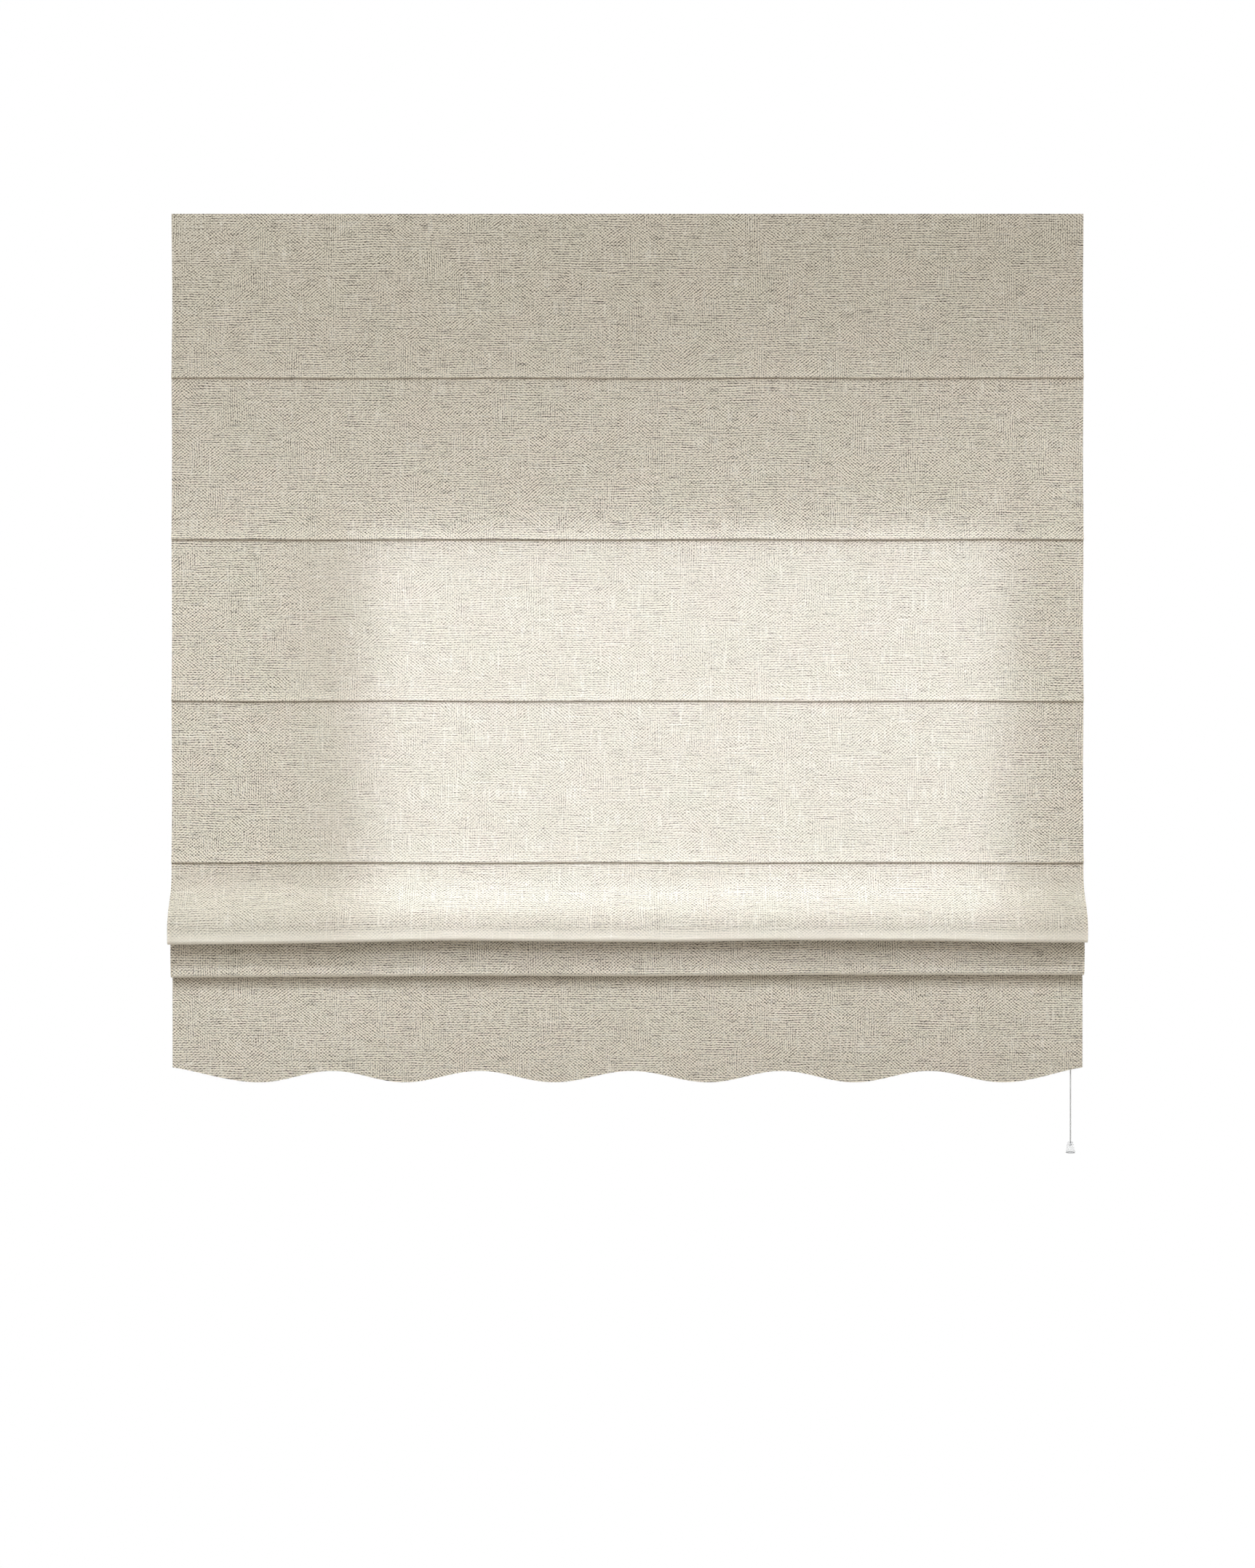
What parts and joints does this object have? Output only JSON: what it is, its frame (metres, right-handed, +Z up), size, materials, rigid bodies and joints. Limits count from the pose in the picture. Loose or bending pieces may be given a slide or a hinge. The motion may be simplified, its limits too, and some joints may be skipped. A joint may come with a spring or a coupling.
{
  "type": "roman blind",
  "caption": "Linen roman blind with tucked folds, hanging folds above a scalloped hem, rods in back pockets, and lift cords that run through a head rail to a bell pull.",
  "frame": {"origin": "on the wall plane, at the centre of the four screw holes of the two wall brackets", "axes": "+X along the head rail to the right as seen from the room, +Y into the wall, +Z up"},
  "size_m": [1.4, 0.0706, 1.4445],
  "materials": {
    "rail_paint": "satin",
    "plastic": "satin",
    "bell_plastic": "gloss",
    "zinc": "satin",
    "linen": "woven",
    "tape": "woven",
    "cord": "braided",
    "rod": "satin",
    "bar": "satin"
  },
  "bodies": {
    "head": {"head_rail": "rail_paint", "end_cap_left": "plastic", "end_cap_right": "plastic", "hook_tape": "tape", "loop_tape": "tape", "bracket_left": "zinc", "bracket_right": "zinc", "pulley_block_left": "plastic", "pulley_block_mid": "plastic", "pulley_block_right": "plastic", "pulley_axles": "zinc", "lock_body": "plastic", "lock_axle": "zinc", "fabric": "linen", "lift_cord_left": "cord", "lift_cord_mid": "cord", "lift_cord_right": "cord"},
    "latch_left": {"latch_left": "zinc", "cam_left": "zinc"},
    "latch_right": {"latch_right": "zinc", "cam_right": "zinc"},
    "drum": {"lock_drum": "plastic"},
    "roller": {"lock_roller": "zinc"},
    "hem": {"rod_6": "rod", "rod_pocket_6": "tape", "ring_row_6": "plastic", "cord_stops": "plastic", "bottom_bar": "bar", "bar_pocket": "tape"},
    "pull": {"cord_joiner": "plastic", "pull_cord": "cord", "pull_bell": "bell_plastic"},
    "wheel_left": {"pulley_wheel_left": "plastic"},
    "wheel_mid": {"pulley_wheel_mid": "plastic"},
    "wheel_right": {"pulley_wheel_right": "plastic"},
    "row_1": {"rod_1": "rod", "rod_pocket_1": "tape", "ring_row_1": "plastic"},
    "row_2": {"rod_2": "rod", "rod_pocket_2": "tape", "ring_row_2": "plastic"},
    "row_3": {"rod_3": "rod", "rod_pocket_3": "tape", "ring_row_3": "plastic"},
    "row_4": {"rod_4": "rod", "rod_pocket_4": "tape", "ring_row_4": "plastic"},
    "row_5": {"rod_5": "rod", "rod_pocket_5": "tape", "ring_row_5": "plastic"}
  },
  "joints": [
    {"name": "lift", "type": "slide", "parent": "head", "child": "hem", "axis": [0, 0, 1], "range_m": [0, 0.8776], "deforming": ["fabric", "lift_cord_left", "lift_cord_mid", "lift_cord_right"]},
    {"name": "row_1_rise", "type": "slide", "parent": "head", "child": "row_1", "axis": [0, 0, 1], "range_m": [0, 0.21074]},
    {"name": "row_2_rise", "type": "slide", "parent": "head", "child": "row_2", "axis": [0, 0, 1], "range_m": [0, 0.4141]},
    {"name": "row_3_rise", "type": "slide", "parent": "head", "child": "row_3", "axis": [0, 0, 1], "range_m": [0, 0.61746]},
    {"name": "row_4_rise", "type": "slide", "parent": "head", "child": "row_4", "axis": [0, 0, 1], "range_m": [0, 0.82082]},
    {"name": "row_5_rise", "type": "slide", "parent": "head", "child": "row_5", "axis": [0, 0, 1], "range_m": [0, 0.82082]},
    {"name": "pull_down", "type": "slide", "parent": "head", "child": "pull", "axis": [0, 0, -1], "range_m": [0, 0.8776]},
    {"name": "wheel_left_spin", "type": "hinge", "parent": "head", "child": "wheel_left", "pos_m": [-0.59455, -0.0188, -0.003], "axis": [0, 1, 0], "continuous": true},
    {"name": "wheel_mid_spin", "type": "hinge", "parent": "head", "child": "wheel_mid", "pos_m": [0.00545, -0.016, -0.003], "axis": [0, 1, 0], "continuous": true},
    {"name": "wheel_right_spin", "type": "hinge", "parent": "head", "child": "wheel_right", "pos_m": [0.60545, -0.0132, -0.003], "axis": [0, 1, 0], "continuous": true},
    {"name": "drum_spin", "type": "hinge", "parent": "head", "child": "drum", "pos_m": [0.67755, -0.016, -0.003], "axis": [0, 1, 0], "continuous": true},
    {"name": "roller_release", "type": "slide", "parent": "head", "child": "roller", "axis": [-0.6, 0, 0.8], "range_m": [0, 0.004]},
    {"name": "latch_left_turn", "type": "hinge", "parent": "head", "child": "latch_left", "pos_m": [-0.55, -0.016, 0.0187], "axis": [0, 0, 1], "range_deg": [0, 90]},
    {"name": "latch_right_turn", "type": "hinge", "parent": "head", "child": "latch_right", "pos_m": [0.55, -0.016, 0.0187], "axis": [0, 0, 1], "range_deg": [0, 90]}
  ],
  "couplings": [
    {"joint": "row_1_rise", "follows": "lift", "ratio": 0.24013},
    {"joint": "row_2_rise", "follows": "lift", "ratio": 0.47186},
    {"joint": "row_3_rise", "follows": "lift", "ratio": 0.70358},
    {"joint": "row_4_rise", "follows": "lift", "ratio": 0.9353},
    {"joint": "row_5_rise", "follows": "lift", "ratio": 0.9353},
    {"joint": "pull_down", "follows": "lift", "ratio": 1},
    {"joint": "wheel_left_spin", "follows": "lift", "rad_per_m": 183.49},
    {"joint": "wheel_mid_spin", "follows": "lift", "rad_per_m": 183.49},
    {"joint": "wheel_right_spin", "follows": "lift", "rad_per_m": 183.49},
    {"joint": "drum_spin", "follows": "lift", "rad_per_m": 183.49}
  ]
}
